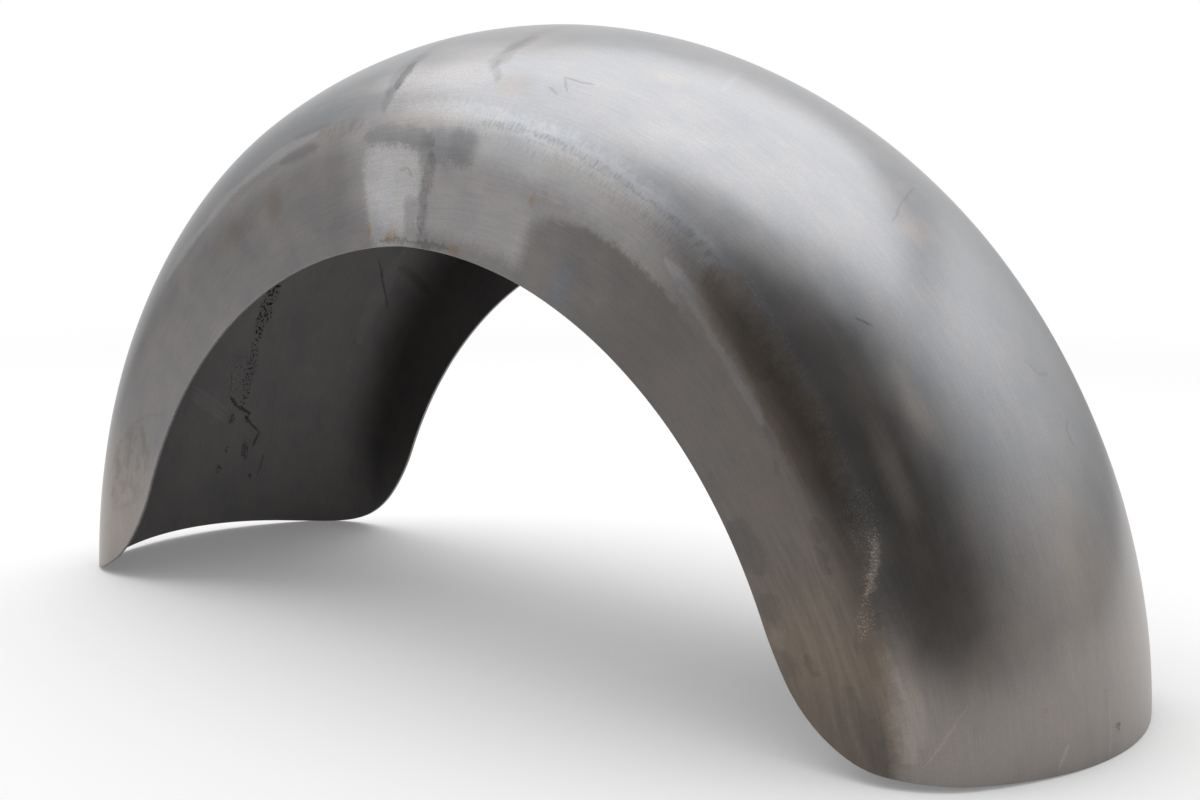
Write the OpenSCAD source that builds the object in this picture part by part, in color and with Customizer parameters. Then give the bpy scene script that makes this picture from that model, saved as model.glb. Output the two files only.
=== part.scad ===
// Rear fender blank for a wide motorcycle tyre: a half-round steel shell with a domed crown,
// rounded shoulders and flat side walls, whose lower edges arch over the wheel.
// Millimetres. X runs along the fender, Y across it, Z up, and it stands on its two ends.

/* [Crown] */
// Outer radius of the crown, around the wheel, on the centreline
crown_radius = 362; // [345:1:390]
// Radius of the dome, across the crown
dome_radius = 170; // [150:1:230]

/* [Section] */
// Width over the two side walls
width = 229; // [205:1:260]
// Outer radius of the shoulder between the dome and a side wall
shoulder_radius = 58; // [40:1:70]
// Thickness of the sheet steel
sheet = 2; // [1.2:0.1:4]

/* [Wheel opening] */
// Radius of the two arcs that form the lower edge of a side wall
arch_radius = 270.5; // [255:0.5:285]
// Depth of the arcs' centres below the crown's centre
arch_drop = 31.7; // [15:0.1:45]
// Distance of each arc's centre past the peak where the two arcs meet
arch_overlap = 6.2; // [0.5:0.1:15]
// Place of the peak along the fender, from the crown's centre
arch_peak_x = -2.7; // [-15:0.1:15]
// Height above the crown's centre at which the corners leave the arcs
corner_height = 75.7; // [65:0.1:90]

/* [Right end] */
// Height of the cut above the crown's centre, at the crown
right_cut_height = 11.9; // [5:0.1:20]
// Angle at which the cut rises inward from the crown
right_cut_rise = 5; // [0:0.1:9]
// Radius of the corner's upper arc, next to the arch
right_upper_radius = 195; // [160:1:240]
// Radius of the corner's lower arc, next to the cut
right_lower_radius = 73; // [40:1:85]

/* [Left end] */
// Height of the cut above the crown's centre, at the crown
left_cut_height = 17.3; // [10:0.1:25]
// Angle at which the cut falls inward from the crown
left_cut_fall = 12; // [6:0.1:16]
// Radius of the corner's upper arc, next to the arch
left_upper_radius = 138; // [120:1:170]
// Radius of the corner's lower arc, next to the cut
left_lower_radius = 80; // [50:1:90]

/* [Hidden] */
$fn = 180;

// Arcs that run into each other cross by this much, so that no gap or step is left between them.
blend = 0.002;
edge_blend = 0.005;
// Share by which the upper arc's trim runs on past the lower arc's start
run_on = 0.1;
// Reach of the cutting shapes beyond the sheet that they trim
reach = 90;

half_width = width / 2;
// Section: the dome's centre and a shoulder's centre, as [distance from the axle, distance from the middle]
dome_centre = [crown_radius - dome_radius, 0];
shoulder_y = half_width - shoulder_radius;
shoulder_centre = dome_centre
    + [sqrt(pow(dome_radius - shoulder_radius, 2) - pow(shoulder_y, 2)), shoulder_y];

function unit(v) = v / norm(v);

// Side view, as [along, up] from the crown's centre. side is 1 at the right end and -1 at the left.
function arch_centre(side) = [arch_peak_x - side * arch_overlap, -arch_drop];
function cut_start(side) = [side * crown_radius, side > 0 ? right_cut_height : left_cut_height];
function cut_rise(side) = side > 0 ? right_cut_rise : -left_cut_fall;
function cut_inward(side) = [-side * cos(cut_rise(side)), sin(cut_rise(side))];
function cut_normal(side) = [side * sin(cut_rise(side)), cos(cut_rise(side))];
function upper_radius(side) = side > 0 ? right_upper_radius : left_upper_radius;
function lower_radius(side) = side > 0 ? right_lower_radius : left_lower_radius;

// Direction from an arch's centre to the point where the corner leaves the arch
function leave_angle() = asin((corner_height + arch_drop) / arch_radius);
function leave_dir(side) = [side * cos(leave_angle()), sin(leave_angle())];
// Centre of the corner's upper arc, which touches the arch from outside
function upper_centre(side) = arch_centre(side)
    + (arch_radius + upper_radius(side)) * leave_dir(side);
// Centre of the corner's lower arc, which touches the cut and lies inside the upper arc
function lower_centre(side) =
    let (
        from_upper = cut_start(side) + lower_radius(side) * cut_normal(side) - upper_centre(side),
        along = from_upper * cut_inward(side),
        spare = from_upper * from_upper - pow(upper_radius(side) - lower_radius(side), 2),
        run = -along + sqrt(along * along - spare)
    )
    cut_start(side) + lower_radius(side) * cut_normal(side) + run * cut_inward(side);

// Point where the crown's centreline meets the cut
function crown_foot(side) =
    let (
        start = cut_start(side),
        inward = cut_inward(side),
        along = start * inward,
        run = -along - sqrt(along * along - start * start + pow(crown_radius, 2))
    )
    start + run * inward;
// Lowest point of an end: the crown's foot, or the corner's lower arc where the cut falls inward
function end_low(side) = cut_rise(side) >= 0
    ? crown_foot(side)[1]
    : lower_centre(side)[1] - lower_radius(side);
crown_centre_height = -min(end_low(1), end_low(-1));
crown_centre_x = -(crown_foot(1)[0] + crown_foot(-1)[0]) / 2;

// The material outside an arc, between two directions from the arc's centre
module outside_arc(centre, radius, from_dir, to_dir) {
    far = radius + reach;
    difference() {
        polygon([
            centre,
            centre + far * from_dir,
            centre + 1.3 * far * unit(from_dir + to_dir),
            centre + far * to_dir
        ]);
        translate(centre) circle(radius);
    }
}

// Half of the section's outline, drawn as [distance from the axle, distance from the middle],
// set in from the outer surface by inset
module section_fill(inset) {
    to_shoulder = unit(shoulder_centre - dome_centre);
    difference() {
        intersection() {
            translate([0, -half_width + inset])
                square([crown_radius, width - 2 * inset]);
            union() {
                translate(dome_centre) circle(dome_radius - inset);
                translate([0, -width]) square([dome_centre[0], 2 * width]);
            }
        }
        for (side = [-1, 1])
            outside_arc(
                [shoulder_centre[0], side * shoulder_centre[1]],
                shoulder_radius - inset + blend,
                [to_shoulder[0], side * to_shoulder[1]],
                [0, side]
            );
    }
}

// The section of the sheet, bent from one side wall over the crown to the other
module section() {
    difference() {
        section_fill(0);
        section_fill(sheet);
    }
}

// What one end's corner loses: outside its upper arc, then outside its lower arc
module corner_cut(side) {
    upper = upper_centre(side);
    lower = lower_centre(side);
    to_lower = unit(lower - upper);
    past_lower = unit(to_lower - run_on * cut_normal(side));
    outside_arc(upper, upper_radius(side) + edge_blend, -leave_dir(side), past_lower);
    outside_arc(lower, lower_radius(side) + 2 * edge_blend, to_lower, -cut_normal(side));
}

// Side view of the fender: above both cuts, outside the arch, with rounded corners
module side_outline() {
    top = crown_radius + reach;
    difference() {
        polygon([
            cut_start(1) - reach * cut_inward(1),
            [top, top],
            [-top, top],
            cut_start(-1) - reach * cut_inward(-1),
            cut_start(-1) + crown_radius * cut_inward(-1),
            cut_start(1) + crown_radius * cut_inward(1)
        ]);
        intersection() {
            translate(arch_centre(1)) circle(arch_radius);
            translate(arch_centre(-1)) circle(arch_radius);
        }
        corner_cut(1);
        corner_cut(-1);
    }
}

// The rolled and welded shell, trimmed to its side view
module fender() {
    color([0.62, 0.61, 0.60])
    translate([crown_centre_x, 0, crown_centre_height])
    rotate([90, 0, 0])
    intersection() {
        rotate_extrude() section();
        linear_extrude(height = width + reach, center = true) side_outline();
    }
}

fender();
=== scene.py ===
# A bare steel motorcycle rear fender in a plain studio: one welded shell, sanded over its welds.
# Metres, in the frame of the CAD part: X along the fender, Y across it, Z up.
import math

import bpy
import numpy as np
from mathutils import Matrix, Vector, noise


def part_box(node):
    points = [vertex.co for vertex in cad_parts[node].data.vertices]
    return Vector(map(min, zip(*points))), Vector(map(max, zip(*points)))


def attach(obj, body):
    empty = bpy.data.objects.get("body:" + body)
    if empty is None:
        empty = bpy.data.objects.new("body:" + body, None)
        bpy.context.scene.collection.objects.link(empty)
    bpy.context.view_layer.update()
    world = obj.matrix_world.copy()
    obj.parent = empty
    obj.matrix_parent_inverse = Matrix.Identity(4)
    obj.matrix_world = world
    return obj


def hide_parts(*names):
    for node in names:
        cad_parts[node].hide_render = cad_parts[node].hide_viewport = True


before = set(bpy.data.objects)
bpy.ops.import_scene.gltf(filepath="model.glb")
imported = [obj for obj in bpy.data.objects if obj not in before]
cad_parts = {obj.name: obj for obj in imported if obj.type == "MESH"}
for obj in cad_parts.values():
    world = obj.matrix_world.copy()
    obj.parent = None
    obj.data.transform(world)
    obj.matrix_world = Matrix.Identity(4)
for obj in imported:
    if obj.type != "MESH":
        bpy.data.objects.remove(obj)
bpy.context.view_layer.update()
low, high = (Vector(corner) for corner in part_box("fender"))

# Section of the shell, as in the CAD part
CROWN_RADIUS = 0.362
DOME_RADIUS = 0.170
SHOULDER_RADIUS = 0.058
SHEET = 0.002
HALF_WIDTH = (high.y - low.y) / 2

# Side view of the shell: arch, cuts and corners, right end first
ARCH_RADIUS = 0.2705
ARCH_DROP = 0.0317
ARCH_OVERLAP = 0.0062
ARCH_PEAK_X = -0.0027
CORNER_HEIGHT = 0.0757
CUT_HEIGHT = {1: 0.0119, -1: 0.0173}
CUT_RISE = {1: math.radians(5), -1: math.radians(-12)}
UPPER_RADIUS = {1: 0.195, -1: 0.138}
LOWER_RADIUS = {1: 0.073, -1: 0.080}

# Mesh: size of a cell, and reach of the grid past the sheet before it is trimmed
CELL = 0.0035
SPARE_LENGTH = 0.004
SPARE_ANGLE = 0.03
SPARE_COLUMNS = 8
# Trimming: rounds that move near points onto the outline, halvings that find a crossing,
# the least slope that is trusted, and the step over which a slope is measured
SNAP_ROUNDS = 4
HALVINGS = 24
LEAST_SLOPE = 0.05
PROBE = 1e-5
# Small round on the cut edge: its radius, and its middle point as a share of that
EDGE_ROUND = 0.0004
ROUND_MIDDLE = 0.3
# Unevenness of the hand-formed sheet: height of its long and short waves, and their number in a metre
LONG_WAVE = 0.00045
LONG_WAVES = 7.0
SHORT_WAVE = 0.00018
SHORT_WAVES = 19.0
SHORT_WAVE_SHIFT = Vector((3, 7, 1))
# Materials of the mesh, in their order
OUTSIDE, INSIDE, CUT_EDGE = range(3)
MILLIMETRE = 0.001


def section_lengths():
    """Dome centre, shoulder centre, angle where they meet, and the two lengths along the section."""
    dome_rho = CROWN_RADIUS - DOME_RADIUS
    shoulder_y = HALF_WIDTH - SHOULDER_RADIUS
    rise = math.sqrt((DOME_RADIUS - SHOULDER_RADIUS) ** 2 - shoulder_y ** 2)
    meet = math.atan2(shoulder_y, rise)
    dome_length = DOME_RADIUS * meet
    shoulder_length = SHOULDER_RADIUS * (math.pi / 2 - meet)
    return dome_rho, dome_rho + rise, shoulder_y, meet, dome_length, dome_length + shoulder_length


DOME_RHO, SHOULDER_RHO, SHOULDER_Y, MEET, DOME_END, SHOULDER_END = section_lengths()


def section(s):
    """Radius from the axle, place across and angle of the normal, at length s from the middle."""
    a = np.abs(s)
    side = np.where(s < 0, -1.0, 1.0)
    turn = MEET + (a - DOME_END) / SHOULDER_RADIUS
    theta = np.where(a < DOME_END, a / DOME_RADIUS, np.minimum(turn, math.pi / 2))
    rho = np.where(
        a < DOME_END,
        DOME_RHO + DOME_RADIUS * np.cos(theta),
        SHOULDER_RHO + SHOULDER_RADIUS * np.cos(theta) - np.maximum(a - SHOULDER_END, 0),
    )
    y = np.where(
        a < DOME_END,
        DOME_RADIUS * np.sin(theta),
        SHOULDER_Y + SHOULDER_RADIUS * np.sin(theta),
    )
    return rho, side * y, side * theta


class Side:
    """One end's arch centre, corner arcs and cut, in the side view from the crown's centre."""

    def __init__(self, side):
        rise = CUT_RISE[side]
        self.arch = np.array([ARCH_PEAK_X - side * ARCH_OVERLAP, -ARCH_DROP])
        self.start = np.array([side * CROWN_RADIUS, CUT_HEIGHT[side]])
        self.inward = np.array([-side * math.cos(rise), math.sin(rise)])
        self.up = np.array([side * math.sin(rise), math.cos(rise)])
        self.upper_radius, self.lower_radius = UPPER_RADIUS[side], LOWER_RADIUS[side]
        leave = math.asin((CORNER_HEIGHT + ARCH_DROP) / ARCH_RADIUS)
        self.leave = np.array([side * math.cos(leave), math.sin(leave)])
        self.upper_centre = self.arch + (ARCH_RADIUS + self.upper_radius) * self.leave
        gap = self.start + self.lower_radius * self.up - self.upper_centre
        along = gap @ self.inward
        run = -along + math.sqrt(along ** 2 - gap @ gap + (self.upper_radius - self.lower_radius) ** 2)
        self.lower_centre = self.start + self.lower_radius * self.up + run * self.inward
        down = self.lower_centre - self.upper_centre
        self.down = down / np.linalg.norm(down)

    def foot(self):
        """Point where the crown's centreline meets the cut."""
        along = self.start @ self.inward
        run = -along - math.sqrt(along ** 2 - self.start @ self.start + CROWN_RADIUS ** 2)
        return self.start + run * self.inward

    def lowest(self):
        """Height of the end's lowest point: the crown's foot, or the corner's lower arc."""
        return self.foot()[1] if self.inward[1] >= 0 else self.lower_centre[1] - self.lower_radius


RIGHT, LEFT = Side(1), Side(-1)
CENTRE = np.array([-(RIGHT.foot()[0] + LEFT.foot()[0]) / 2, -min(RIGHT.lowest(), LEFT.lowest())])


def between(p, centre, a, b):
    """Whether p, seen from centre, lies between the directions a and b."""
    d = p - centre
    turn = np.sign(a[0] * b[1] - a[1] * b[0])
    after_a = turn * (a[0] * d[..., 1] - a[1] * d[..., 0]) >= 0
    before_b = turn * (d[..., 0] * b[1] - d[..., 1] * b[0]) >= 0
    return after_a & before_b


def inside(p):
    """Distance in the side view from p to the fender's outline, positive on the sheet."""
    arches = [np.linalg.norm(p - end.arch, axis=-1) - ARCH_RADIUS for end in (RIGHT, LEFT)]
    d = np.maximum(*arches)
    for end in (RIGHT, LEFT):
        own_half = p[..., 0] * end.start[0] > 0
        d = np.where(own_half, np.minimum(d, (p - end.start) @ end.up), d)
        upper = end.upper_radius - np.linalg.norm(p - end.upper_centre, axis=-1)
        lower = end.lower_radius - np.linalg.norm(p - end.lower_centre, axis=-1)
        d = np.where(between(p, end.upper_centre, -end.leave, end.down), np.minimum(d, upper), d)
        d = np.where(between(p, end.lower_centre, end.down, -end.up), np.minimum(d, lower), d)
    return d


def side_view(q):
    """Unrolled points q, as [angle around the axle, length across], seen from the side."""
    rho = section(q[..., 1])[0]
    return np.stack([rho * np.cos(q[..., 0]), rho * np.sin(q[..., 0])], axis=-1)


def sheet_distance(q):
    return inside(side_view(q))


def gradient(q):
    """How sheet_distance changes for a metre along the crown and a metre across."""
    steps = (np.array([PROBE / CROWN_RADIUS, 0.0]), np.array([0.0, PROBE]))
    changes = [sheet_distance(q + step) - sheet_distance(q - step) for step in steps]
    return np.stack(changes, axis=-1) / (2 * PROBE)


def trimmed_grid():
    """Unrolled points and faces of the sheet, with its edge points on the trimmed outline."""
    reach = SHOULDER_END + SHOULDER_RHO - (ARCH_RADIUS - ARCH_DROP) + SPARE_LENGTH
    columns = int(math.pi * CROWN_RADIUS / CELL) + SPARE_COLUMNS
    rows = 2 * int(reach / CELL)
    angles = np.linspace(-SPARE_ANGLE, math.pi + SPARE_ANGLE, columns)
    lengths = np.linspace(-reach, reach, rows + 1)
    q = np.stack(np.meshgrid(angles, lengths, indexing="ij"), axis=-1).reshape(-1, 2)
    d = sheet_distance(q)

    # A point within a third of a cell of the outline moves onto it.
    scale = np.array([1 / CROWN_RADIUS, 1.0])
    near = np.abs(d) < CELL / 3
    for _ in range(SNAP_ROUNDS):
        g = gradient(q[near])
        step = sheet_distance(q[near]) / np.maximum((g ** 2).sum(axis=-1), LEAST_SLOPE)
        q[near] -= np.clip(step, -CELL, CELL)[:, None] * g * scale
    d[near] = 0.0

    faces, crossings, points = [], {}, list(q)

    def crossing(a, b):
        """Point where the outline crosses the grid's edge from a to b, made once."""
        key = (min(a, b), max(a, b))
        if key not in crossings:
            p, r, lo, hi = q[key[0]], q[key[1]], 0.0, 1.0
            start = d[key[0]] > 0
            for _ in range(HALVINGS):
                mid = (lo + hi) / 2
                if (sheet_distance(p + (r - p) * mid) > 0) == start:
                    lo = mid
                else:
                    hi = mid
            crossings[key] = len(points)
            points.append(p + (r - p) * (lo + hi) / 2)
        return crossings[key]

    sign = np.sign(d).astype(int)
    width = rows + 1
    for i in range(columns - 1):
        for j in range(rows):
            ring = [i * width + j, (i + 1) * width + j, (i + 1) * width + j + 1, i * width + j + 1]
            signs = [sign[k] for k in ring]
            if max(signs) <= 0:
                continue
            face = []
            for a, b in zip(ring, ring[1:] + ring[:1]):
                if sign[a] >= 0:
                    face.append(a)
                if sign[a] * sign[b] < 0:
                    face.append(crossing(a, b))
            if len(face) >= 3:
                faces.append(face)
    used = sorted({k for face in faces for k in face})
    place = {k: n for n, k in enumerate(used)}
    return np.array(points)[used], [[place[k] for k in face] for face in faces]


def waves(q):
    """Slight unevenness of the hand-formed sheet, in metres along the normal."""
    out = np.zeros(len(q))
    for n, (angle, s) in enumerate(q):
        p = Vector((angle * CROWN_RADIUS, s, 0.0))
        long_wave = LONG_WAVE * noise.noise(p * LONG_WAVES)
        short_wave = SHORT_WAVE * noise.noise(p * SHORT_WAVES + SHORT_WAVE_SHIFT)
        out[n] = long_wave + short_wave
    return out


def shell_mesh():
    """The fender as a closed mesh: outer face, rounded cut edge and inner face."""
    q, faces = trimmed_grid()
    rho, y, theta = section(q[:, 1])
    angle = q[:, 0]
    p = np.stack([CENTRE[0] + rho * np.cos(angle), y, CENTRE[1] + rho * np.sin(angle)], axis=-1)
    n = np.stack([np.cos(theta) * np.cos(angle), np.sin(theta), np.cos(theta) * np.sin(angle)], axis=-1)
    p += n * waves(q)[:, None]

    # Edges used once form the rim; each keeps the direction of its face.
    count = {}
    for face in faces:
        for a, b in zip(face, face[1:] + face[:1]):
            count[(a, b)] = count.get((a, b), 0) + 1
    rim = [e for e in count if (e[1], e[0]) not in count]
    rim_points = sorted({k for e in rim for k in e})

    # Direction out of the sheet, in its own plane, at each rim point
    view = side_view(q[rim_points])
    steps = (np.array([PROBE, 0.0]), np.array([0.0, PROBE]))
    changes = [inside(view + step) - inside(view - step) for step in steps]
    g = np.stack(changes, axis=-1) / (2 * PROBE)
    inward = np.stack([g[:, 0], np.zeros(len(g)), g[:, 1]], axis=-1)
    rim_normals = n[rim_points]
    out = -(inward - (inward * rim_normals).sum(axis=-1)[:, None] * rim_normals)
    out /= np.linalg.norm(out, axis=-1)[:, None]

    # Rings of points across the cut edge, as [shift out of the sheet, depth below the outer face]
    middle = ROUND_MIDDLE * EDGE_ROUND
    profile = [
        (-middle, middle),
        (0, EDGE_ROUND),
        (0, SHEET / 2),
        (0, SHEET - EDGE_ROUND),
        (-middle, SHEET - middle),
    ]
    rim_places = p[rim_points].copy()
    p[rim_points] -= out * EDGE_ROUND
    total = len(p)
    verts = [p, p - n * SHEET]
    unrolled = [q, q]
    rings = []
    start = 2 * total
    for shift, depth in profile:
        verts.append(rim_places + out * shift - rim_normals * depth)
        unrolled.append(q[rim_points])
        rings.append({k: start + i for i, k in enumerate(rim_points)})
        start += len(rim_places)
    rings = [{k: k for k in rim_points}] + rings + [{k: k + total for k in rim_points}]

    polys = [face[::-1] for face in faces] + [[k + total for k in face] for face in faces]
    kinds = [OUTSIDE] * len(faces) + [INSIDE] * len(faces)
    for upper, lower in zip(rings, rings[1:]):
        for a, c in rim:
            polys.append([upper[a], upper[c], lower[c], lower[a]])
            kinds.append(CUT_EDGE)
    verts = np.concatenate(verts)
    unrolled = np.concatenate(unrolled)

    mesh = bpy.data.meshes.new("fender_shell")
    mesh.from_pydata(verts.tolist(), [], polys)
    mesh.polygons.foreach_set("material_index", kinds)
    mesh.polygons.foreach_set("use_smooth", [True] * len(polys))
    along = (math.pi / 2 - unrolled[:, 0]) * CROWN_RADIUS
    flat = np.column_stack([along, unrolled[:, 1]])
    place = mesh.attributes.new("unrolled", "FLOAT_VECTOR", "POINT")
    place.data.foreach_set("vector", np.column_stack([flat, np.zeros(len(flat))]).ravel())
    # The same places as a UV map
    uv = mesh.uv_layers.new(name="unrolled_uv")
    corners = np.zeros(len(mesh.loops), dtype=int)
    mesh.loops.foreach_get("vertex_index", corners)
    uv.data.foreach_set("uv", flat[corners].ravel())
    # Creases where the two faces of the sheet meet the cut edge
    edge_set = {frozenset(e) for e in rim} | {frozenset((a + total, c + total)) for a, c in rim}
    sharp = mesh.attributes.new("sharp_edge", "BOOLEAN", "EDGE")
    sharp.data.foreach_set("value", [frozenset(e.vertices) in edge_set for e in mesh.edges])
    mesh.validate()
    mesh.update()
    return mesh


# What each mark's node group is given, and what it gives on
PLACES = ("sheet", "ragged", "ragged_both", "wavy")
VALUES = ("tone", "warmth", "roughness", "height")


class Finish:
    """A steel finish built up mark by mark on the sheet, as if it were unrolled flat.

    Places and sizes are millimetres: along the crown from its top, plus towards the right end, then
    across it, minus on the near side. Tone multiplies the colour, warmth shifts it from blue to brown,
    roughness is added, and height is millimetres out of the sheet. Tones are summed as logarithms.
    Each mark is a node group of its own. Masks are single numbers and not vectors, because a renderer
    can keep only a few vectors at a time.
    """

    # Uneven borders: size of the cells, reach of the shift from one side to the other, and the
    # share of it that wavy lines take
    RAGGED_CELL = 8.0
    RAGGED_REACH = 8.0
    WAVY_SHARE = 0.35
    # Steps between the random fields of two seeds, and gain that brings a field to about -1 to 1
    SEED_STEP = (731.0, 313.0, -1.0)
    FIELD_GAIN = 4.0
    # Colour: change of red and blue for a warmth of 1, and green against the tone
    WARMTH_GAIN = 0.5
    GREEN = 0.984
    ROUGHNESS_RANGE = (0.12, 0.9)

    def __init__(self, name, tone, warmth, roughness):
        self.name = name
        self.material = bpy.data.materials.new(name)
        self.material.use_nodes = True
        self.tree = self.whole = self.material.node_tree
        self.values = {"tone": math.log(tone), "warmth": warmth, "roughness": roughness, "height": 0.0}
        unrolled = self.node("ShaderNodeAttribute", {}, attribute_name="unrolled").outputs["Vector"]
        sheet = self.vector("MULTIPLY", unrolled, (1.0 / MILLIMETRE, 1.0 / MILLIMETRE, 0.0))
        # The same on the near and on the far side, for what both sides have
        whole = self.node("ShaderNodeSeparateXYZ", {0: sheet}).outputs
        folded = self.math("MULTIPLY", self.math("ABSOLUTE", whole["Y"]), -1.0)
        both = self.node("ShaderNodeCombineXYZ", {0: whole["X"], 1: folded}).outputs[0]
        # Small random shift that makes the borders of the marks uneven
        spot = self.vector("SCALE", both, Scale=1.0 / self.RAGGED_CELL)
        values = {"Vector": spot, "Scale": 1.0, "Detail": 3.0, "Roughness": 0.8}
        field = self.node("ShaderNodeTexNoise", values, noise_dimensions="2D")
        reach, back = self.RAGGED_REACH, -self.RAGGED_REACH / 2
        shift = self.vector("MULTIPLY_ADD", field.outputs["Color"], (reach, reach, 0.0), (back, back, 0.0))
        self.places = {
            "sheet": sheet,
            "ragged": self.vector("ADD", sheet, shift),
            "ragged_both": self.vector("ADD", both, shift),
            "wavy": self.vector("MULTIPLY_ADD", shift, (self.WAVY_SHARE, self.WAVY_SHARE, 0.0), sheet),
        }
        self.open_group()

    def open_group(self):
        """Start the node group of the next mark."""
        self.tree = bpy.data.node_groups.new(self.name, "ShaderNodeTree")
        for name in PLACES:
            self.tree.interface.new_socket(name, in_out="INPUT", socket_type="NodeSocketVector")
        for name in VALUES:
            self.tree.interface.new_socket(name, in_out="INPUT", socket_type="NodeSocketFloat")
            self.tree.interface.new_socket(name, in_out="OUTPUT", socket_type="NodeSocketFloat")
        self.given = self.tree.nodes.new("NodeGroupInput").outputs
        self.sheet, self.ragged, self.ragged_both, self.wavy = (self.given[name] for name in PLACES)

    def mark(self, mask, tone=1.0, warmth=0.0, roughness=0.0, height=0.0):
        """Put a mark on the sheet: close its group and start the next one."""
        new = {name: self.given[name] for name in VALUES}
        for name, amount in (
            ("tone", math.log(tone)), ("warmth", warmth), ("roughness", roughness), ("height", height),
        ):
            if amount:
                new[name] = self.math("MULTIPLY_ADD", mask, amount, self.given[name])
        self.node("NodeGroupOutput", new)
        group = self.whole.nodes.new("ShaderNodeGroup")
        group.node_tree = self.tree
        self.tree = self.whole
        self.connect(group, {**self.places, **self.values})
        self.values = {name: group.outputs[name] for name in VALUES}
        self.open_group()

    def connect(self, node, values):
        """Give a node its inputs, each a number or another node's output."""
        for socket, value in values.items():
            if isinstance(value, bpy.types.NodeSocket):
                assert value.id_data == self.tree, "a mask belongs to the mark that it was made for"
                self.tree.links.new(value, node.inputs[socket])
            else:
                node.inputs[socket].default_value = value

    def node(self, kind, values, **settings):
        """New node in the current group, with its settings and inputs."""
        node = self.tree.nodes.new(kind)
        for name, setting in settings.items():
            setattr(node, name, setting)
        self.connect(node, values)
        return node

    def math(self, operation, *values):
        return self.node("ShaderNodeMath", dict(enumerate(values)), operation=operation).outputs[0]

    def vector(self, operation, *values, **named):
        node = self.node("ShaderNodeVectorMath", {**dict(enumerate(values)), **named}, operation=operation)
        return node.outputs["Value" if operation in ("LENGTH", "DISTANCE", "DOT_PRODUCT") else "Vector"]

    def smooth(self, value, start, end):
        """0 before start, 1 after end, smooth between them; start may be the larger one."""
        values = {"Value": value, "From Min": start, "From Max": end}
        return self.node("ShaderNodeMapRange", values, interpolation_type="SMOOTHSTEP").outputs[0]

    def measured(self, place, centre, size):
        """Place along and across from a mark's centre, in its half sizes."""
        middle = (-centre[0] / size[0], -centre[1] / size[1], 0.0)
        return self.vector("MULTIPLY_ADD", place, (1.0 / size[0], 1.0 / size[1], 0.0), middle)

    def noise(self, along, across, seed=0.0, detail=2.0, turn=0.0):
        """Smooth random field from about -1 to 1 with cells of the given size."""
        values = {
            "Vector": self.sheet,
            "Location": [step * seed for step in self.SEED_STEP],
            "Rotation": (0.0, 0.0, math.radians(turn)),
            "Scale": (along, across, 1.0),
        }
        spot = self.node("ShaderNodeMapping", values, vector_type="TEXTURE").outputs[0]
        values = {"Vector": spot, "Scale": 1.0, "Detail": detail}
        field = self.node("ShaderNodeTexNoise", values, noise_dimensions="2D")
        return self.math("MULTIPLY_ADD", field.outputs[0], self.FIELD_GAIN, -self.FIELD_GAIN / 2)

    def blot(self, centre, size, turn=0.0, soft=0.5, place=None):
        """Oval mask with half sizes along and across; soft is the width of its border."""
        place = place or self.ragged
        if not turn:
            distance = self.vector("LENGTH", self.measured(place, centre, size))
            return self.smooth(distance, 1.0 + soft, 1.0 - soft)
        # A turned one is drawn from its two focal points.
        reach = math.sqrt(abs(size[0] ** 2 - size[1] ** 2))
        turn = math.radians(turn + (90.0 if size[1] > size[0] else 0.0))
        x, y = reach * math.cos(turn), reach * math.sin(turn)
        points = [(centre[0] + k * x, centre[1] + k * y, 0.0) for k in (1, -1)]
        ends = [self.vector("DISTANCE", place, point) for point in points]
        outer, inner = (2 * math.hypot(reach, min(size) * (1.0 + k * soft)) for k in (1, -1))
        return self.smooth(self.math("ADD", *ends), outer, inner)

    def patch(self, centre, size, soft=0.2, place=None):
        """Mask of a rectangle with round corners."""
        reach = self.measured(place or self.ragged, centre, size)
        square = self.vector("LENGTH", self.vector("MULTIPLY", reach, reach))
        return self.smooth(square, (1.0 + soft) ** 2, (1.0 - soft) ** 2)

    def stroke(self, points, width, soft=0.6, place=None):
        """Mask of a line through points, of one half width."""
        mask = None
        for (u0, v0), (u1, v1) in zip(points, points[1:]):
            half = math.hypot(u1 - u0, v1 - v0) / 2 + width
            turn = math.degrees(math.atan2(v1 - v0, u1 - u0))
            piece = self.blot(((u0 + u1) / 2, (v0 + v1) / 2), (half, width), turn, soft, place)
            mask = piece if mask is None else self.math("MAXIMUM", mask, piece)
        return mask

    def flecks(self, along, across, share, seed=0.0, turn=0.0, sharp=0.25):
        """Mask of scattered flecks; share is how far the random field has to rise for one."""
        return self.smooth(self.noise(along, across, seed, 1.0, turn), share, share + sharp)

    def both_masks(self, a, b):
        """Mask of what two masks share."""
        return self.math("MULTIPLY", a, b)

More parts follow.
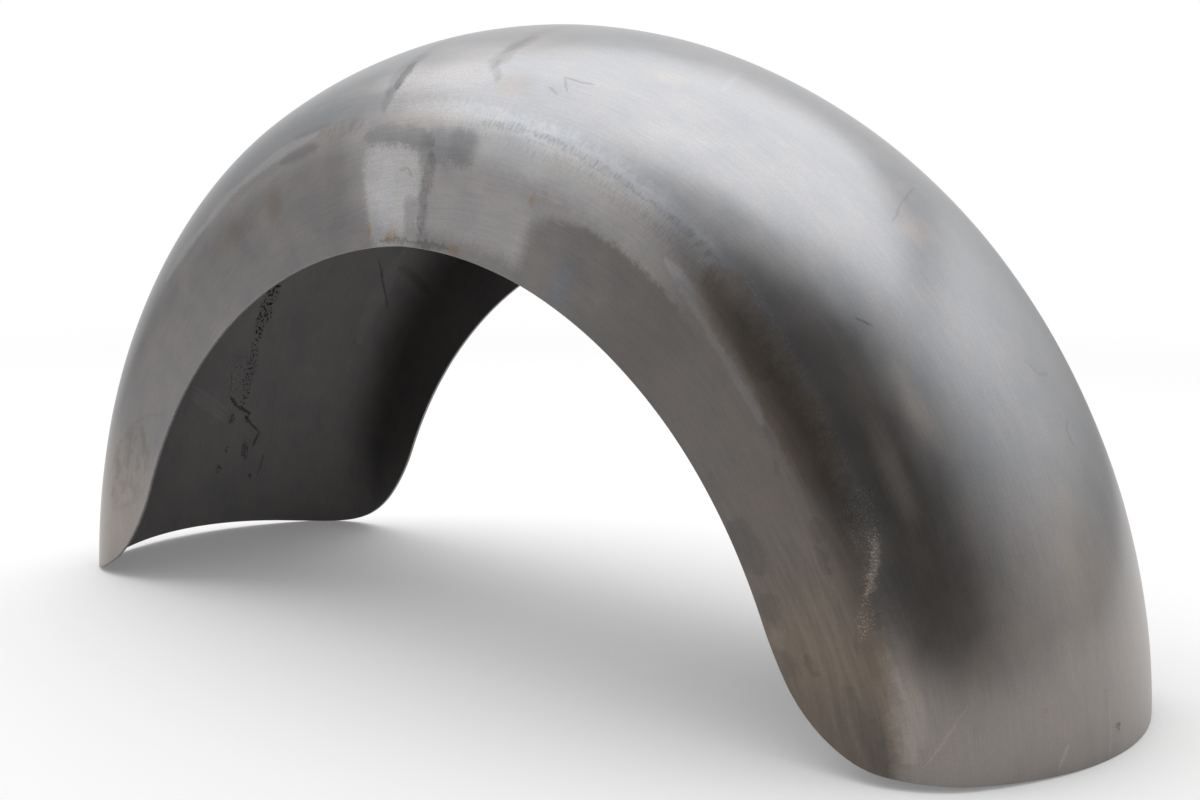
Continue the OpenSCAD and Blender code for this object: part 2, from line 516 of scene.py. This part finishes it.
    def finished(self):
        """The material, with the sums of all marks on its shader."""
        bpy.data.node_groups.remove(self.tree)
        self.tree = self.whole
        tone, warmth = self.math("EXPONENT", self.values["tone"]), self.values["warmth"]
        red = self.math("MULTIPLY", tone, self.math("MULTIPLY_ADD", warmth, self.WARMTH_GAIN, 1.0))
        green = self.math("MULTIPLY", tone, self.GREEN)
        blue = self.math("MULTIPLY", tone, self.math("MULTIPLY_ADD", warmth, -self.WARMTH_GAIN, 1.0))
        colour = self.node("ShaderNodeCombineColor", {0: red, 1: green, 2: blue})
        least, most = self.ROUGHNESS_RANGE
        rough = self.node("ShaderNodeClamp", {0: self.values["roughness"], 1: least, 2: most})
        relief = {"Height": self.values["height"], "Distance": MILLIMETRE, "Strength": 1.0}
        bump = self.node("ShaderNodeBump", relief)
        shader = self.tree.nodes["Principled BSDF"]
        shader.inputs["Metallic"].default_value = 1.0
        self.tree.links.new(colour.outputs[0], shader.inputs["Base Color"])
        self.tree.links.new(rough.outputs[0], shader.inputs["Roughness"])
        self.tree.links.new(bump.outputs[0], shader.inputs["Normal"])
        return self.material


def outside_steel():
    """Bare steel with the marks of the welding, sanding and handling, and painted highlights and a painted
    warm reflection on the right shoulder.
    """
    steel = Finish("steel_outside", tone=0.208, warmth=-0.065, roughness=0.30)
    sheet_tones(steel)
    sanded_areas(steel)
    ground_seam(steel)
    crown_dark_streaks(steel)
    worn_shoulder_and_highlights(steel)
    stains(steel)
    scratches(steel)
    grain(steel)
    return steel.finished()


def side_wall(steel):
    """Mask of the flat side walls, from the seam down."""
    across = steel.vector("DOT_PRODUCT", steel.ragged_both, (0.0, 1.0, 0.0))
    return steel.smooth(across, -120.0, -134.0)


def along_sheet(steel, start, end):
    """Mask that rises along the sheet from start to end."""
    along = steel.vector("DOT_PRODUCT", steel.ragged, (1.0, 0.0, 0.0))
    return steel.smooth(along, start, end)


def sheet_tones(steel):
    """Large tones of the sheet: clouds, the warm ends and the darker, browner wall at the right."""
    steel.mark(steel.noise(120.0, 70.0, seed=1.0, detail=3.0), tone=1.07, warmth=0.02, roughness=0.02)
    steel.mark(steel.noise(26.0, 16.0, seed=2.0, detail=3.0), tone=1.05, warmth=0.03, roughness=0.02)
    crown = steel.math("SUBTRACT", 1.0, side_wall(steel))
    steel.mark(steel.both_masks(crown, along_sheet(steel, -190.0, 60.0)), tone=1.22, warmth=0.02)
    steel.mark(steel.blot((-340.0, -119.0), (170.0, 15.0), soft=0.8, place=steel.sheet), tone=0.75)
    steel.mark(steel.blot((-345.0, -165.0), (110.0, 35.0), soft=0.8, place=steel.sheet), tone=0.90)
    steel.mark(side_wall(steel), tone=1.01, warmth=0.12)
    steel.mark(along_sheet(steel, -400.0, -510.0), tone=1.20, warmth=0.15)
    steel.mark(steel.both_masks(side_wall(steel), along_sheet(steel, 122.0, 133.0)), tone=0.92, warmth=0.03)
    right_wall = steel.both_masks(side_wall(steel), along_sheet(steel, 140.0, 270.0))
    steel.mark(right_wall, tone=0.68, warmth=0.05, roughness=0.03)
    steel.mark(along_sheet(steel, 400.0, 500.0), tone=1.05, warmth=0.20)
    steel.mark(steel.blot((430.0, -160.0), (70.0, 30.0), soft=0.8), tone=1.04, warmth=0.10)
    steel.mark(along_sheet(steel, 495.0, 550.0), tone=0.86)


def sanded_areas(steel):
    """Brighter bands and patches where the welds were sanded back."""
    sanded_patch = (-13.0, -174.0)
    band = steel.patch((98.0, -158.0), (150.0, 34.0), soft=0.18)
    sheet_beyond = steel.patch((330.0, -190.0), (203.0, 38.0), soft=0.05)
    band = steel.both_masks(band, steel.math("SUBTRACT", 1.0, sheet_beyond))
    steel.mark(band, tone=1.55, warmth=-0.01, roughness=0.05)
    bright_band = steel.patch((165.0, -135.0), (118.0, 14.0), soft=0.5)
    steel.mark(bright_band, tone=1.38, warmth=-0.04, roughness=0.03)
    sliver = steel.stroke([(236.0, -140.5), (345.0, -148.5)], 3.4, soft=1.0, place=steel.wavy)
    steel.mark(sliver, tone=1.24, warmth=-0.05)
    steel.mark(steel.patch(sanded_patch, (29.0, 28.0), soft=0.14), tone=1.42, warmth=-0.02, roughness=0.06)
    steel.mark(steel.stroke([(-16.0, -160.0), (-26.0, -188.0)], 7.0), tone=1.05, warmth=-0.05)
    brushed = {"centre": (16.0, -102.0), "size": (36.0, 34.0), "soft": 0.25}
    steel.mark(steel.patch(**brushed), tone=1.10, warmth=0.05, roughness=0.05)
    outer = steel.patch(sanded_patch, (33.0, 31.0), soft=0.12)
    inner = steel.patch(sanded_patch, (26.0, 26.0), soft=0.12)
    border = steel.math("SUBTRACT", outer, inner)
    steel.mark(steel.both_masks(border, steel.flecks(1.3, 1.3, 0.45, seed=5.0)), tone=1.30)
    # Speckle of the coarse abrasive
    rough = steel.math("MAXIMUM", steel.patch(sanded_patch, (31.0, 30.0)), steel.patch(**brushed))
    speckle = steel.both_masks(rough, steel.noise(1.0, 1.0, seed=6.0, detail=1.0))
    steel.mark(speckle, tone=1.10, height=0.002)


def ground_seam(steel):
    """The seam between crown and side wall: hatched by the grinder, with dark smudges."""
    top_edge = [(66.0, -130.0), (102.0, -126.5), (200.0, -125.5), (262.0, -122.0)]
    edge_line = steel.stroke(top_edge, 1.7, soft=0.8)
    dashes = steel.smooth(steel.noise(1.8, 6.0, seed=11.0, detail=0.0), -0.2, 0.7)
    uneven = steel.math("MULTIPLY_ADD", dashes, 0.6, 0.4)
    steel.mark(steel.both_masks(edge_line, uneven), tone=0.76)
    hatched = steel.patch((150.0, -130.5), (112.0, 6.5), soft=0.4)
    grooves = steel.smooth(steel.noise(0.9, 5.0, seed=12.0, detail=0.0), 0.0, 0.9)
    steel.mark(steel.both_masks(hatched, grooves), tone=0.88, height=-0.004)
    slanted = steel.smooth(steel.noise(2.2, 14.0, seed=13.0, detail=0.0, turn=-40.0), 0.0, 0.5)
    steel.mark(steel.both_masks(steel.patch((-61.0, -132.5), (18.0, 4.5), soft=0.3), slanted), tone=0.88)
    # Left part: a light line over a dark one
    light_line = [(-294.0, -131.5), (-230.0, -134.0), (-180.0, -132.0), (-90.0, -130.0)]
    steel.mark(steel.stroke(light_line, 2.4, soft=1.0, place=steel.wavy), tone=1.22, warmth=-0.05)
    for line, width, tone in (
        ([(-290.0, -136.0), (-225.0, -138.5)], 1.8, 0.92),
        ([(-200.0, -136.5), (-130.0, -136.5), (-90.0, -137.5)], 3.0, 0.86),
        ([(-130.0, -136.5), (-92.0, -137.5)], 2.0, 0.86),
        ([(-115.0, -126.0), (-78.0, -126.5)], 1.4, 0.90),
    ):
        steel.mark(steel.stroke(line, width, soft=1.0, place=steel.wavy), tone=tone)
    # Dark smudges in the middle
    smear = steel.stroke([(-36.0, -140.0), (-6.0, -141.5), (24.0, -144.0)], 4.6, soft=0.8)
    steel.mark(smear, tone=0.78, warmth=-0.04)
    steel.mark(steel.patch((43.0, -145.5), (21.0, 8.0), soft=0.5), tone=0.74, warmth=-0.04)
    steel.mark(steel.patch((55.0, -144.0), (10.0, 8.0), soft=0.5), tone=0.84)
    torn = steel.patch((48.0, -152.0), (20.0, 3.6), soft=0.3)
    steel.mark(steel.both_masks(torn, steel.flecks(1.3, 0.9, 0.2, seed=14.0, sharp=0.6)), tone=1.26)
    # Dark streaks beside the sanded patch
    streak = steel.stroke([(28.0, -153.0), (21.0, -172.0), (19.0, -189.0)], 3.8, soft=0.9)
    uneven = steel.math("MULTIPLY_ADD", steel.flecks(1.5, 3.0, -0.3, seed=15.0, sharp=1.1), 0.5, 0.5)
    steel.mark(steel.both_masks(streak, uneven), tone=0.66, warmth=0.03)
    steel.mark(steel.patch((8.0, -184.0), (6.5, 8.0), soft=0.7), tone=0.72)
    steel.mark(steel.stroke([(-28.0, -197.0), (12.0, -197.5), (50.0, -198.5)], 1.6), tone=0.72, warmth=0.04)


def crown_dark_streaks(steel):
    """Dark streaks at both sides of the brushed patch across the crown."""
    left = steel.stroke([(-25.0, -84.0), (-25.0, -100.0), (-24.0, -110.0)], 6.0, soft=0.7)
    steel.mark(left, tone=0.80, warmth=-0.02)
    steel.mark(steel.stroke([(-22.5, -93.0), (-20.0, -111.0)], 3.4, soft=0.5), tone=0.62)
    steel.mark(steel.stroke([(-23.0, -112.0), (-25.0, -124.0)], 3.4, soft=0.7), tone=0.85)
    steel.mark(steel.stroke([(41.0, -60.0), (42.0, -78.0), (46.0, -92.0)], 5.0, soft=0.8), tone=0.80)
    steel.mark(steel.stroke([(41.0, -64.0), (41.5, -80.0)], 2.6, soft=0.7), tone=0.82)
    steel.mark(steel.stroke([(46.0, -90.0), (51.0, -98.0), (59.0, -103.0)], 2.0, soft=0.7), tone=0.84)
    steel.mark(steel.stroke([(39.0, -60.0), (35.0, -8.0)], 4.0, soft=0.9), tone=0.90)
    steel.mark(steel.stroke([(-27.0, -84.0), (-29.0, -20.0)], 4.0, soft=0.9), tone=0.90)
    torn = steel.stroke([(-18.0, -90.0), (-15.0, -118.0)], 4.0)
    steel.mark(steel.both_masks(torn, steel.flecks(1.4, 1.1, 0.35, seed=21.0)), tone=1.25)


def worn_shoulder_and_highlights(steel):
    """The darker lens on the right shoulder, its worn bright edge, and the painted highlights and painted
    warm reflection over and above it.
    """
    lens = steel.patch((328.0, -133.0), (66.0, 12.5), soft=0.16)
    lens_tip = steel.blot((283.0, -131.0), (25.0, 11.0), turn=-8.0, soft=0.2)
    steel.mark(steel.math("MAXIMUM", lens, lens_tip), tone=0.82, warmth=0.17, roughness=0.03)
    steel.mark(steel.blot((292.0, -132.0), (36.0, 11.0), turn=-6.0, soft=0.5), tone=0.84)
    upper_edge = steel.stroke([(274.0, -118.0), (300.0, -118.5), (350.0, -121.0), (405.0, -120.0)], 1.6)
    steel.mark(steel.both_masks(upper_edge, steel.flecks(1.6, 1.0, 0.0, seed=31.0, sharp=0.8)), tone=1.20)
    # Painted warm reflection: soft, brighter and warmer blots over the dark band of the shoulder
    for centre, size, soft, tone, warmth in (
        ((365.0, -112.0), (88.0, 17.0), 0.7, 1.20, 0.12),
        ((436.0, -126.0), (34.0, 12.0), 0.8, 1.20, 0.0),
        ((410.0, -92.0), (60.0, 16.0), 0.9, 1.10, 0.12),
    ):
        steel.mark(steel.blot(centre, size, soft=soft, place=steel.wavy), tone=tone, warmth=warmth)
    worn = [(405.0, -120.0), (424.0, -126.0), (420.0, -121.0)]
    bright = [(424.0, -120.0), (437.0, -122.5), (452.0, -130.0), (474.0, -136.0)]
    for line, width, tone, seed in ((worn, 5.0, 1.7, 32.0), (bright, 2.6, 2.2, 34.0)):
        specks = steel.flecks(1.0, 0.8, -0.1, seed=seed, turn=-20.0, sharp=1.2)
        steel.mark(steel.both_masks(steel.stroke(line, width, soft=1.0), specks), tone=tone, warmth=0.12)
    bare_line = steel.stroke([(428.0, -120.5), (441.0, -123.5), (452.0, -129.0)], 1.4, soft=1.0)
    steel.mark(bare_line, tone=1.6, warmth=0.10)
    # Painted highlights above it: soft light spots, a little rougher
    for centre, size, tone, roughness in (
        ((371.0, -81.0), (16.0, 5.0), 1.20, 0.05),
        ((402.0, -103.0), (20.0, 4.5), 1.45, 0.08),
    ):
        spot = steel.blot(centre, size, soft=1.0, place=steel.wavy)
        steel.mark(spot, tone=tone, warmth=0.08, roughness=roughness)
    # Dark patches along the lower edge and the corner
    dark = 0.0
    for centre, size, turn in (
        ((408.0, -184.0), (20.0, 6.0), 8.0),
        ((450.0, -182.0), (9.0, 5.0), 4.0),
        ((488.0, -176.5), (6.5, 4.5), 0.0),
        ((488.0, -165.5), (7.0, 1.8), 15.0),
        ((524.0, -141.0), (26.0, 4.0), 19.0),
        ((413.0, -144.0), (6.5, 3.0), -5.0),
        ((430.0, -146.0), (8.0, 2.0), 5.0),
        ((354.0, -148.5), (6.0, 1.4), 0.0),
        ((372.0, -151.5), (5.5, 1.2), 0.0),
        ((478.0, -140.0), (4.0, 1.2), 0.0),
    ):
        dark = steel.math("MAXIMUM", dark, steel.blot(centre, size, turn, soft=0.9))
    steel.mark(dark, tone=0.85, warmth=-0.03)
    # Light streaks along the brushing
    corner = steel.patch((480.0, -150.0), (62.0, 34.0), soft=0.4)
    streaks = steel.both_masks(corner, steel.noise(55.0, 5.0, seed=33.0, detail=2.0, turn=10.0))
    steel.mark(streaks, tone=1.12, warmth=0.03)
    steel.mark(steel.blot((505.0, -124.0), (36.0, 8.0), turn=4.0, soft=0.6), tone=1.12, warmth=0.05)
    steel.mark(steel.blot((470.0, -181.0), (8.0, 4.0), soft=0.4), tone=1.20)


def stains(steel):
    """Yellow-brown and tan stains, and the mottled left end."""
    brown = 0.0
    for centre, size, turn in (
        ((-41.5, -189.5), (2.4, 3.8), -20.0),
        ((-17.0, -195.0), (7.0, 2.2), 10.0),
        ((56.0, -198.5), (6.5, 2.8), 0.0),
        ((124.0, -158.0), (3.0, 2.8), 0.0),
    ):
        brown = steel.math("MAXIMUM", brown, steel.blot(centre, size, turn, soft=0.5))
    steel.mark(brown, tone=0.84, warmth=0.34)
    for centre, size, tone, warmth in (
        ((72.0, -104.0), (13.0, 8.0), 0.94, 0.10),
        ((60.0, -65.0), (26.0, 15.0), 0.97, 0.06),
        ((-48.0, -105.0), (22.0, 9.0), 0.97, 0.06),
        ((-202.0, -156.0), (24.0, 6.0), 0.90, 0.10),
        ((-147.0, -158.0), (9.0, 9.0), 0.88, 0.12),
        ((-123.0, -109.0), (4.0, 2.6), 0.90, 0.10),
        ((288.0, -20.0), (9.0, 9.0), 1.03, 0.10),
        ((170.0, -188.0), (9.0, 11.0), 1.04, -0.16),
        ((142.0, -57.0), (10.0, 7.0), 1.04, 0.08),
        ((460.0, -15.0), (30.0, 14.0), 1.03, 0.05),
        ((-97.0, -92.0), (3.0, 1.8), 0.90, 0.0),
    ):
        steel.mark(steel.blot(centre, size, soft=0.6), tone=tone, warmth=warmth)
    steel.mark(steel.blot((543.0, -1.5), (1.6, 1.4), soft=0.4), tone=0.45, warmth=0.5)
    steel.mark(steel.blot((524.0, -54.0), (1.5, 1.2), soft=0.4), tone=0.92, warmth=0.1)
    # Oval of darker mottles at the left end
    oval = steel.blot((-452.0, -157.0), (42.0, 17.0), turn=-12.0, soft=0.35)
    clouds = steel.smooth(steel.noise(13.0, 7.0, seed=41.0, detail=2.0), -0.3, 0.6)
    steel.mark(steel.both_masks(oval, clouds), tone=0.84, warmth=0.08)
    for line, width, tone in (
        ([(-497.0, -147.0), (-470.0, -143.0), (-443.0, -145.0), (-417.0, -154.0)], 1.6, 0.93),
        ([(-417.0, -154.0), (-400.0, -165.0), (-382.0, -182.0)], 0.9, 0.92),
        ([(-471.0, -146.5), (-458.0, -146.0)], 1.4, 0.90),
        ([(-497.0, -148.0), (-485.0, -165.0), (-466.0, -175.0)], 2.0, 0.94),
    ):
        steel.mark(steel.stroke(line, width, soft=0.9, place=steel.wavy), tone=tone)


def scratches(steel):
    """Single thin scratches and faint curls."""
    for points, width, tone, warmth in (
        ([(98.0, -90.5), (108.0, -89.5), (117.0, -87.5)], 0.6, 0.74, 0.04),
        ([(98.0, -91.0), (108.0, -99.0)], 0.6, 0.80, 0.04),
        ([(96.0, -100.0), (104.0, -102.5)], 0.7, 0.82, 0.04),
        ([(260.0, 9.0), (270.0, -14.0), (281.0, -32.0)], 0.6, 0.84, 0.08),
        ([(366.0, 0.0), (374.0, 6.0), (374.0, 16.0)], 0.9, 0.88, 0.04),
        ([(398.0, 15.0), (403.0, 9.0), (411.0, 10.0)], 1.0, 0.88, 0.04),
        ([(322.0, -86.0), (329.0, -80.0)], 0.6, 0.66, 0.16),
        ([(150.0, -12.0), (166.0, -44.0)], 1.6, 1.06, 0.04),
        ([(514.0, -95.0), (541.0, -115.0)], 0.6, 1.12, 0.04),
        ([(543.0, -41.0), (552.0, -47.0)], 1.0, 1.20, 0.0),
        ([(528.0, -8.0), (556.0, -9.0)], 0.9, 1.10, 0.04),
        ([(-4.0, -160.0), (3.0, -158.5), (8.0, -162.0)], 0.9, 0.84, 0.12),
    ):
        steel.mark(steel.stroke(points, width, place=steel.wavy), tone=tone, warmth=warmth)


def grain(steel):
    """Fine grain of the sheet: hair lines along it, small dots and faint mottles."""
    steel.mark(steel.noise(26.0, 0.8, seed=52.0, detail=1.0, turn=3.0), tone=1.04)
    steel.mark(steel.noise(0.9, 0.9, seed=53.0, detail=1.0), tone=1.05, warmth=0.02)
    steel.mark(steel.noise(3.5, 3.5, seed=54.0, detail=1.0), tone=1.015, warmth=0.010)
    wall_lines = steel.both_masks(side_wall(steel), steel.noise(60.0, 1.8, seed=55.0, detail=2.0, turn=4.0))
    steel.mark(wall_lines, tone=1.025)


def inside_steel():
    """Duller, darker steel with the marks of the welding left on it, and a painted shadow on the far wall.
    """
    steel = Finish("steel_inside", tone=0.145, warmth=0.07, roughness=0.5)
    steel.mark(steel.noise(90.0, 60.0, seed=61.0, detail=3.0), tone=1.08, warmth=0.03)
    steel.mark(steel.noise(16.0, 12.0, seed=62.0, detail=3.0), tone=1.05, warmth=0.03)
    fine = steel.noise(1.1, 1.1, seed=63.0, detail=2.0)
    steel.mark(fine, tone=1.06, warmth=0.03, roughness=0.02, height=0.003)
    steel.mark(steel.noise(30.0, 1.2, seed=64.0, detail=2.0), tone=1.04, height=0.002)
    weld_line(steel)
    gouges_and_shadow(steel)
    return steel.finished()


def weld_line(steel):
    """Pitted line inside, where a weld burnt through."""
    dense = [(-396.0, 31.5), (-352.0, 32.5)]
    pits = steel.smooth(steel.noise(2.6, 1.9, seed=71.0, detail=1.0), 0.10, 0.40)
    pitted = steel.both_masks(steel.stroke(dense, 4.6, soft=0.4), pits)
    steel.mark(pitted, tone=0.22, roughness=0.1, height=-0.12)
    steel.mark(steel.stroke(dense, 4.6, soft=0.4), tone=0.90)
    sparse = steel.stroke([(-460.0, 33.5), (-396.0, 33.0)], 2.6, soft=0.5)
    few = steel.smooth(steel.noise(2.2, 1.6, seed=72.0, detail=1.0), 0.20, 0.5)
    steel.mark(steel.both_masks(sparse, few), tone=0.34, height=-0.08)
    for share, seed, tone, height in ((0.62, 73.0, 0.45, -0.05), (0.70, 74.0, 1.35, 0.05)):
        area = steel.blot((-434.0, 24.0), (18.0, 10.0), soft=0.4)
        spatter = steel.both_masks(area, steel.flecks(2.1, 1.3, share, seed=seed))
        steel.mark(spatter, tone=tone, height=height)
    seam = steel.stroke([(-392.0, 109.0), (-300.0, 111.0)], 4.0, soft=0.8)
    steel.mark(seam, tone=1.10, height=0.03)


def gouges_and_shadow(steel):
    """Dark gouges and light scratches inside the left end, and a painted shadow down the far wall."""
    for points, width, tone in (
        ([(-466.0, 40.0), (-460.0, 29.0), (-452.0, 22.0)], 1.1, 0.40),
        ([(-492.0, 46.0), (-481.0, 49.5), (-468.0, 36.0)], 0.9, 0.50),
        ([(-352.0, 120.0), (-316.0, 98.5)], 0.8, 0.62),
        ([(-451.0, 22.0), (-430.0, 18.0)], 0.7, 0.86),
        ([(-516.0, 52.0), (-500.0, 55.0)], 0.8, 0.75),
    ):
        steel.mark(steel.stroke(points, width, place=steel.wavy), tone=tone, height=-0.08)
    for centre, size in (
        ((-470.0, 38.0), (3.0, 1.6)),
        ((-495.0, 40.0), (7.0, 2.4)),
        ((-509.0, 19.5), (3.4, 1.8)),
        ((-494.0, 25.0), (3.0, 1.4)),
        ((-516.0, 46.0), (2.4, 1.4)),
        ((-470.0, 26.0), (4.0, 2.0)),
    ):
        area = steel.blot(centre, size, soft=0.5)
        spots = steel.both_masks(area, steel.flecks(1.8, 1.2, -0.3, seed=75.0))
        steel.mark(spots, tone=0.45, height=-0.05)
    for shift in (0.0, 5.0, 9.0):
        line = [(-462.0 - shift, 20.0), (-440.0 - shift, -13.0)]
        steel.mark(steel.stroke(line, 1.4, soft=1.0, place=steel.wavy), tone=1.14)
    # Painted shadow: a dark band down the far wall inside
    steel.mark(steel.stroke([(-313.0, 140.0), (-312.0, 117.0)], 4.0, soft=0.8), tone=0.82)


def cut_edge_steel():
    """Brighter and rougher steel of the cut edge."""
    steel = Finish("steel_cut_edge", tone=0.26, warmth=0.02, roughness=0.45)
    steel.mark(steel.noise(5.0, 5.0, seed=81.0, detail=3.0), tone=1.12, warmth=0.05, roughness=0.05)
    steel.mark(steel.noise(0.9, 0.9, seed=82.0, detail=1.0), tone=1.10, roughness=0.04, height=0.01)
    return steel.finished()


def add_fender():
    """The fender's shell in place of the plain solid."""
    fender = bpy.data.objects.new("fender_shell", shell_mesh())
    bpy.context.collection.objects.link(fender)
    for finish in (outside_steel, inside_steel, cut_edge_steel):
        fender.data.materials.append(finish())
    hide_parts("fender")
    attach(fender, "root")


def add_camera():
    """The photograph's camera, found from the fender's outline in it."""
    place = Vector((0.6935, -0.7424, 0.2684))
    turn, tilt, roll = math.radians(41.40), math.radians(7.58), math.radians(0.32)
    camera = bpy.data.objects.new("camera", bpy.data.cameras.new("camera"))
    camera.data.sensor_width = 36
    camera.data.lens = 51.96
    camera.data.clip_start = 0.05
    rotation = Matrix.Rotation(turn, 4, "Z") @ Matrix.Rotation(math.pi / 2 - tilt, 4, "X")
    camera.matrix_world = Matrix.Translation(place) @ rotation @ Matrix.Rotation(roll, 4, "Z")
    bpy.context.collection.objects.link(camera)
    bpy.context.scene.camera = camera


def add_floor():
    """Round pale floor that keeps the shadow near the fender and turns white towards the horizon."""
    radius, ring = 40, 96
    turns = [2 * math.pi * i / ring for i in range(ring)]
    points = [(radius * math.cos(turn), radius * math.sin(turn), 0) for turn in turns]
    mesh = bpy.data.meshes.new("floor")
    mesh.from_pydata(points, [], [tuple(range(ring))])
    floor = bpy.data.objects.new("floor", mesh)
    bpy.context.collection.objects.link(floor)
    mesh.materials.append(floor_material())


def floor_material():
    """Pale floor that takes shadows near the fender and fades to plain white further out."""
    material = bpy.data.materials.new("floor")
    material.use_nodes = True
    nodes, links = material.node_tree.nodes, material.node_tree.links
    shader = nodes["Principled BSDF"]
    shader.inputs["Base Color"].default_value = (0.9, 0.9, 0.9, 1)
    shader.inputs["Roughness"].default_value = 0.9
    place = nodes.new("ShaderNodeTexCoord")
    distance = nodes.new("ShaderNodeVectorMath")
    distance.operation = "LENGTH"
    links.new(place.outputs["Object"], distance.inputs[0])
    fade = nodes.new("ShaderNodeMapRange")
    fade.interpolation_type = "SMOOTHSTEP"
    fade.inputs["From Min"].default_value = 0.6
    fade.inputs["From Max"].default_value = 2.2
    fade.inputs["To Min"].default_value = 0.15
    fade.inputs["To Max"].default_value = 1.0
    links.new(distance.outputs["Value"], fade.inputs["Value"])
    share = nodes.new("ShaderNodeMath")
    share.operation = "MULTIPLY"
    links.new(fade.outputs[0], share.inputs[0])
    links.new(background_rays(nodes, links), share.inputs[1])
    white = nodes.new("ShaderNodeEmission")
    mix = nodes.new("ShaderNodeMixShader")
    links.new(share.outputs[0], mix.inputs[0])
    links.new(shader.outputs[0], mix.inputs[1])
    links.new(white.outputs[0], mix.inputs[2])
    links.new(mix.outputs[0], nodes["Material Output"].inputs["Surface"])
    material.cycles.emission_sampling = "NONE"
    return material


def background_rays(nodes, links):
    """1 for the rays that show the background: from the camera, in reflections and through glass."""
    path = nodes.new("ShaderNodeLightPath")
    seen = path.outputs["Is Camera Ray"]
    for kind in ("Is Glossy Ray", "Is Transmission Ray"):
        either = nodes.new("ShaderNodeMath")
        either.operation = "MAXIMUM"
        links.new(seen, either.inputs[0])
        links.new(path.outputs[kind], either.inputs[1])
        seen = either.outputs[0]
    return seen


def add_lamp(name, place, heading, size, power):
    """Soft lamp facing down, its long side along a compass heading from +Y towards +X."""
    lamp = bpy.data.lights.new(name, "AREA")
    lamp.shape = "RECTANGLE"
    lamp.size, lamp.size_y = size
    lamp.energy = power
    holder = bpy.data.objects.new(name, lamp)
    holder.location = place
    holder.rotation_euler = (0, 0, math.radians(90 - heading))
    bpy.context.collection.objects.link(holder)


def add_curtain():
    """Studio curtain around the fender: dark and close behind the camera, open behind the fender."""
    above_floor = 0.002
    # Compass angle from +Y towards +X in degrees, distance and top in metres, brightness at foot and top
    stations = [
        (-15, 2.4, 0.8, 0.46, 0.76),
        (0, 2.4, 1.35, 0.36, 1.25),
        (20, 2.4, 1.9, 0.38, 2.10),
        (40, 2.4, 2.2, 0.46, 2.45),
        (60, 2.4, 2.4, 0.58, 2.10),
        (80, 1.9, 2.2, 0.36, 1.05),
        (94, 1.2, 1.7, 0.10, 0.12),
        (120, 0.95, 1.4, 0.07, 0.09),
        (145, 0.95, 1.35, 0.07, 0.10),
        (165, 1.0, 1.15, 0.10, 0.14),
        (182, 1.2, 1.0, 0.18, 0.27),
        (194, 1.8, 1.0, 0.31, 0.50),
        (210, 2.4, 0.7, 0.56, 0.75),
        (240, 2.4, 0.5, 0.60, 0.80),
        (262, 2.4, 0.5, 0.58, 0.72),
    ]
    verts, faces, glow = [], [], []
    for angle, distance, top, at_foot, at_top in stations:
        x = distance * math.sin(math.radians(angle))
        y = distance * math.cos(math.radians(angle))
        verts += [(x, y, above_floor), (x, y, top)]
        glow += [at_foot, at_top]
    for i in range(len(stations) - 1):
        faces.append((2 * i, 2 * i + 2, 2 * i + 3, 2 * i + 1))
    mesh = bpy.data.meshes.new("curtain")
    mesh.from_pydata(verts, [], faces)
    mesh.attributes.new("glow", "FLOAT", "POINT").data.foreach_set("value", glow)
    mesh.materials.append(glowing("curtain", "glow"))
    curtain = bpy.data.objects.new("curtain", mesh)
    bpy.context.collection.objects.link(curtain)
    only_in_reflections(curtain)


def glowing(name, attribute):
    """Material that glows by a mesh attribute, without lighting anything as a lamp."""
    material = bpy.data.materials.new(name)
    material.use_nodes = True
    nodes, links = material.node_tree.nodes, material.node_tree.links
    nodes.remove(nodes["Principled BSDF"])
    emission = nodes.new("ShaderNodeEmission")
    level = nodes.new("ShaderNodeAttribute")
    level.attribute_name = attribute
    links.new(level.outputs["Fac"], emission.inputs["Strength"])
    links.new(emission.outputs[0], nodes["Material Output"].inputs["Surface"])
    material.cycles.emission_sampling = "NONE"
    return material


def only_in_reflections(obj):
    """Hide obj from the camera and from soft light, and leave it without a shadow."""
    obj.visible_camera = False
    obj.visible_diffuse = False
    obj.visible_transmission = False
    obj.visible_shadow = False


def add_world():
    """Pale world: white as a background, dimmer as a light."""
    world = bpy.data.worlds.new("studio")
    world.use_nodes = True
    nodes, links = world.node_tree.nodes, world.node_tree.links
    background = nodes["Background"]
    background.inputs["Color"].default_value = (1, 1, 1, 1)
    level = nodes.new("ShaderNodeMapRange")
    level.inputs["To Min"].default_value = 0.6
    level.inputs["To Max"].default_value = 1.0
    links.new(background_rays(nodes, links), level.inputs["Value"])
    links.new(level.outputs[0], background.inputs["Strength"])
    bpy.context.scene.world = world


add_fender()
add_camera()
add_floor()
add_world()
add_curtain()
add_lamp("overhead", place=(-0.36, 0.32, 1.9), heading=42, size=(3.2, 2.15), power=35)
add_lamp("side_fill", place=(-1.5, -1.3, 1.7), heading=42, size=(1.3, 1.0), power=4)
bpy.context.scene.view_settings.view_transform = "Standard"
